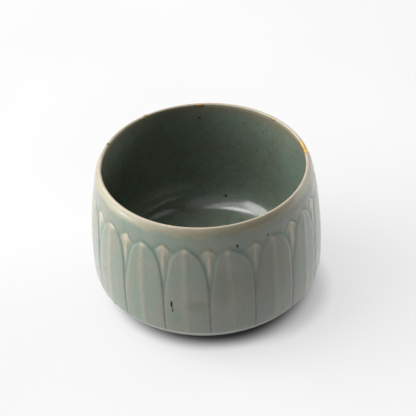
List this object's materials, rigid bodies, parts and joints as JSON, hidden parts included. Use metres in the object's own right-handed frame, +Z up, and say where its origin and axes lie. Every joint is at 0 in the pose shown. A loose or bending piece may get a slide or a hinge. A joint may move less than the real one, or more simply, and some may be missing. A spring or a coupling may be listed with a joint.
{
  "type": "rice bowl",
  "caption": "Deep round glazed stoneware rice bowl with carved lotus petals round its wall, a low foot ring and gold-lacquer repairs to chips in its lip.",
  "frame": {"origin": "centre of the foot ring's underside", "axes": "+Z up along the bowl's axis; -Y is the front; the largest gold repair lies 10.5 degrees from +X towards +Y"},
  "size_m": [0.1208, 0.1208, 0.0793],
  "materials": {
    "celadon_glaze": "smooth, softly glossy grey-green glaze, thin and tan on raised edges, fine crackle inside",
    "gold_lacquer": "burnished gold powder on lacquer, satin",
    "lacquer_putty": "dry dark brown lacquer filler, matt"
  },
  "bodies": {
    "root": {"bowl_body": "celadon_glaze", "right_repair_gold": "gold_lacquer", "right_repair_putty": "lacquer_putty", "back_repair": "gold_lacquer", "rear_left_repair": "gold_lacquer", "small_repair": "gold_lacquer"}
  },
  "joints": []
}
